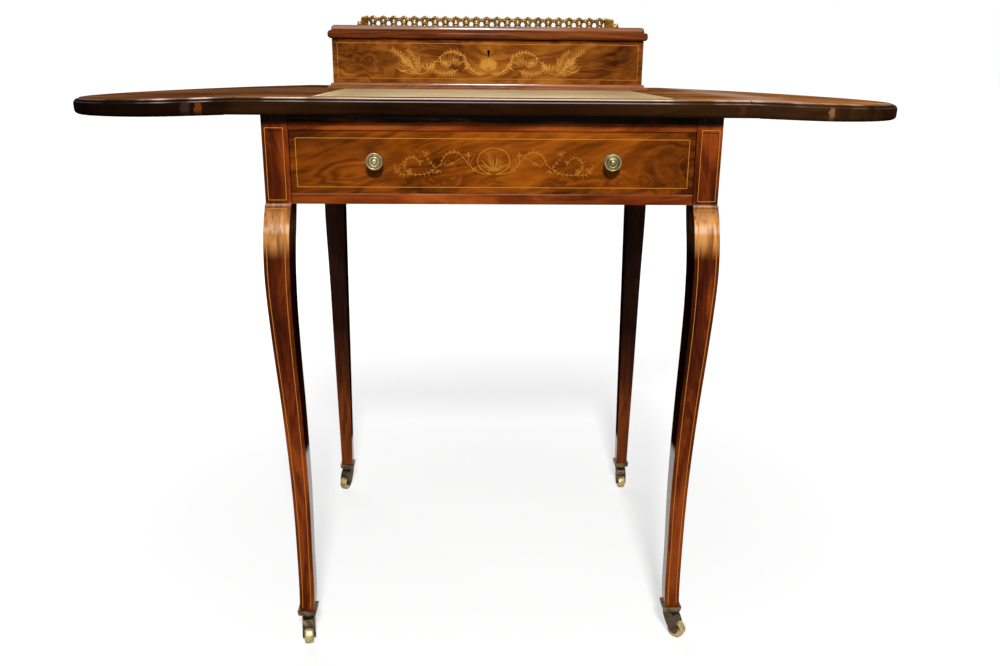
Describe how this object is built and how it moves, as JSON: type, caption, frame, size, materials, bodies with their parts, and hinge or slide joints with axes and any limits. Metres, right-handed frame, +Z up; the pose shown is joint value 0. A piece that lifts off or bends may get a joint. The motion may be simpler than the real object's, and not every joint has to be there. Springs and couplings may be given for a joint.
{
  "type": "bonheur du jour writing table",
  "caption": "Lady's drop-leaf writing table on square cabriole front legs and castors, with an inlaid frieze drawer, an inset leather top and a lidded writing box with a pierced gallery",
  "frame": {"origin": "on the floor under the middle of the table", "axes": "+X to the table's right seen from the front, +Y to its back, +Z up"},
  "size_m": [1.1242, 0.544, 0.8458],
  "materials": {
    "rosewood": "french polish",
    "lining_wood": "plain",
    "leather": "waxed, gilt tooled",
    "brass": "aged"
  },
  "bodies": {
    "frame": {"leg_front_left": "rosewood", "leg_front_right": "rosewood", "leg_back_left": "rosewood", "leg_back_right": "rosewood", "apron_left": "rosewood", "apron_right": "rosewood", "apron_back": "rosewood", "rail_top": "rosewood", "rail_bottom": "rosewood", "top_centre": "rosewood", "box_base": "rosewood", "box_front": "rosewood", "box_back": "rosewood", "box_left": "rosewood", "box_right": "rosewood", "runner_left": "lining_wood", "runner_right": "lining_wood", "loper_bed": "lining_wood", "leather": "leather", "box_lock": "brass", "lid_butt_left": "brass", "lid_butt_right": "brass", "leaf_hinge_left_front": "brass", "leaf_hinge_left_back": "brass", "leaf_hinge_right_front": "brass", "leaf_hinge_right_back": "brass", "castor_tray_front_left": "brass", "castor_tray_front_right": "brass", "castor_tray_back_left": "brass", "castor_tray_back_right": "brass"},
    "drawer": {"drawer_front": "rosewood", "drawer_left": "lining_wood", "drawer_right": "lining_wood", "drawer_back": "lining_wood", "drawer_bottom": "lining_wood", "knob_left": "brass", "knob_right": "brass"},
    "leaf_left": {"leaf_left": "rosewood", "leaf_flap_left_front": "brass", "leaf_flap_left_back": "brass"},
    "leaf_right": {"leaf_right": "rosewood", "leaf_flap_right_front": "brass", "leaf_flap_right_back": "brass"},
    "loper_left": {"loper_left": "lining_wood"},
    "loper_right": {"loper_right": "lining_wood"},
    "lid": {"lid": "rosewood", "lid_flap_left": "brass", "lid_flap_right": "brass", "lock_link": "brass", "gallery_back": "brass", "gallery_left": "brass", "gallery_right": "brass"},
    "horn_front_left": {"castor_horn_front_left": "brass"},
    "wheel_front_left": {"castor_wheel_front_left": "brass"},
    "horn_front_right": {"castor_horn_front_right": "brass"},
    "wheel_front_right": {"castor_wheel_front_right": "brass"},
    "horn_back_left": {"castor_horn_back_left": "brass"},
    "wheel_back_left": {"castor_wheel_back_left": "brass"},
    "horn_back_right": {"castor_horn_back_right": "brass"},
    "wheel_back_right": {"castor_wheel_back_right": "brass"}
  },
  "joints": [
    {"name": "drawer_slide", "type": "slide", "parent": "frame", "child": "drawer", "axis": [0, -1, 0], "range_m": [0, 0.3]},
    {"name": "leaf_left_hinge", "type": "hinge", "parent": "frame", "child": "leaf_left", "pos_m": [-0.296, 0, 0.718], "axis": [0, 1, 0], "range_deg": [-88, 0]},
    {"name": "leaf_right_hinge", "type": "hinge", "parent": "frame", "child": "leaf_right", "pos_m": [0.296, 0, 0.718], "axis": [0, -1, 0], "range_deg": [-88, 0]},
    {"name": "loper_left_slide", "type": "slide", "parent": "frame", "child": "loper_left", "axis": [-1, 0, 0], "range_m": [0, 0.17]},
    {"name": "loper_right_slide", "type": "slide", "parent": "frame", "child": "loper_right", "axis": [1, 0, 0], "range_m": [0, 0.17]},
    {"name": "lid_hinge", "type": "hinge", "parent": "frame", "child": "lid", "pos_m": [0, 0.2656, 0.80565], "axis": [-1, 0, 0], "range_deg": [0, 95]},
    {"name": "swivel_front_left", "type": "hinge", "parent": "frame", "child": "horn_front_left", "pos_m": [-0.25283, -0.23183, 0.0365], "axis": [0, 0, 1], "continuous": true},
    {"name": "roll_front_left", "type": "hinge", "parent": "horn_front_left", "child": "wheel_front_left", "pos_m": [-0.25116, -0.24372, 0.012], "axis": [0.9903, 0.1392, 0], "continuous": true},
    {"name": "swivel_front_right", "type": "hinge", "parent": "frame", "child": "horn_front_right", "pos_m": [0.25283, -0.23183, 0.0365], "axis": [0, 0, 1], "continuous": true},
    {"name": "roll_front_right", "type": "hinge", "parent": "horn_front_right", "child": "wheel_front_right", "pos_m": [0.26202, -0.23955, 0.012], "axis": [0.6428, 0.766, 0], "continuous": true},
    {"name": "swivel_back_left", "type": "hinge", "parent": "frame", "child": "horn_back_left", "pos_m": [-0.2581, 0.2401, 0.0365], "axis": [0, 0, 1], "continuous": true},
    {"name": "roll_back_left", "type": "hinge", "parent": "horn_back_left", "child": "wheel_back_left", "pos_m": [-0.2622, 0.22882, 0.012], "axis": [0.9397, -0.342, 0], "continuous": true},
    {"name": "swivel_back_right", "type": "hinge", "parent": "frame", "child": "horn_back_right", "pos_m": [0.2581, 0.2401, 0.0365], "axis": [0, 0, 1], "continuous": true},
    {"name": "roll_back_right", "type": "hinge", "parent": "horn_back_right", "child": "wheel_back_right", "pos_m": [0.2581, 0.2281, 0.012], "axis": [1, 0, 0], "continuous": true}
  ]
}
